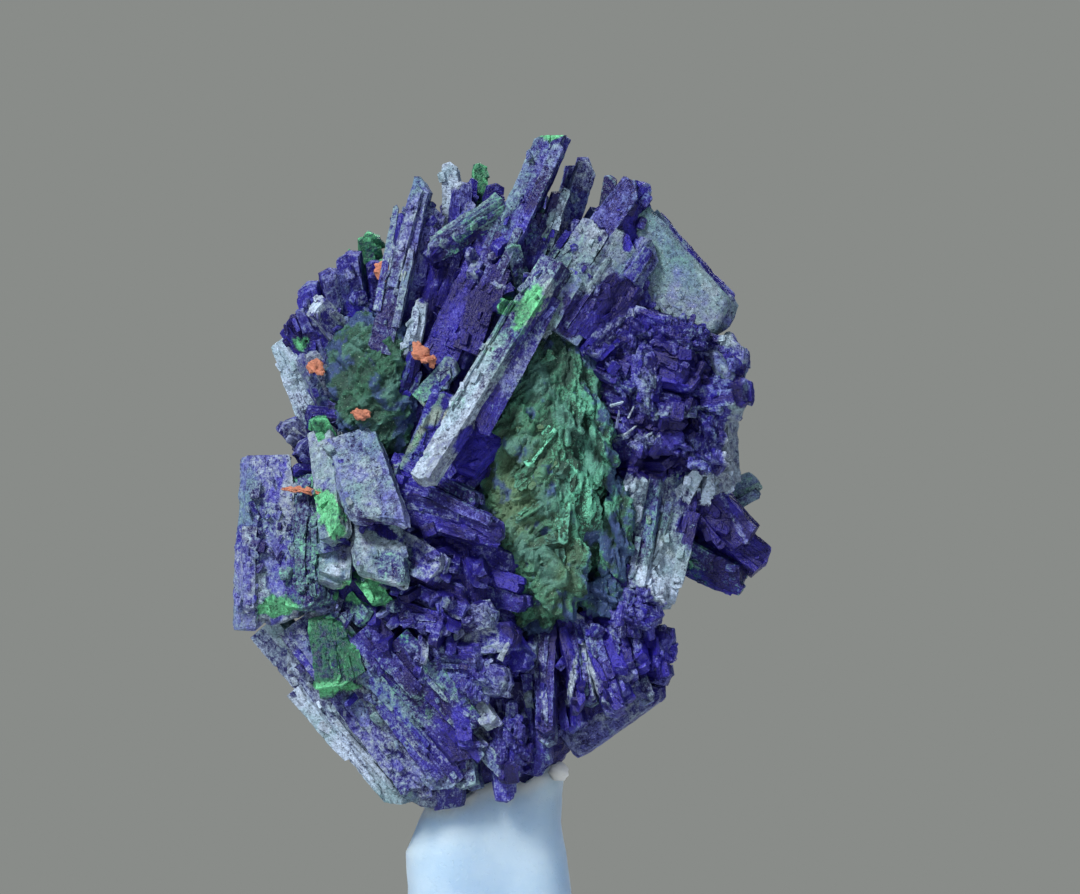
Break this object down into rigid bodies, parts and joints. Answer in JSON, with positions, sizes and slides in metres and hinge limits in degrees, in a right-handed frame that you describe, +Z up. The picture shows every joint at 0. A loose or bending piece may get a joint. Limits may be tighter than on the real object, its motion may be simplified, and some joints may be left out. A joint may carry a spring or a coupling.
{
  "type": "azurite specimen with malachite on a stand",
  "caption": "Cluster of bladed azurite crystals around green malachite, held upright in pale mounting wax on a flat clear foot.",
  "frame": {"origin": "centre of the foot's flat underside", "axes": "+Z up, -Y towards the viewer (the face with the exposed malachite), +X to the viewer's right"},
  "size_m": [0.054, 0.038, 0.0914],
  "materials": {
    "azurite": "rough, dusted, with glassy spots",
    "malachite": "rough, earthy",
    "mounting_wax": "soft, waxy",
    "clear_foot": "polished, clear"
  },
  "bodies": {
    "root": {"azurite_cluster": "azurite", "malachite_core": "malachite", "malachite_left": "malachite", "wax_seat": "mounting_wax", "stand_foot": "clear_foot"}
  },
  "joints": []
}
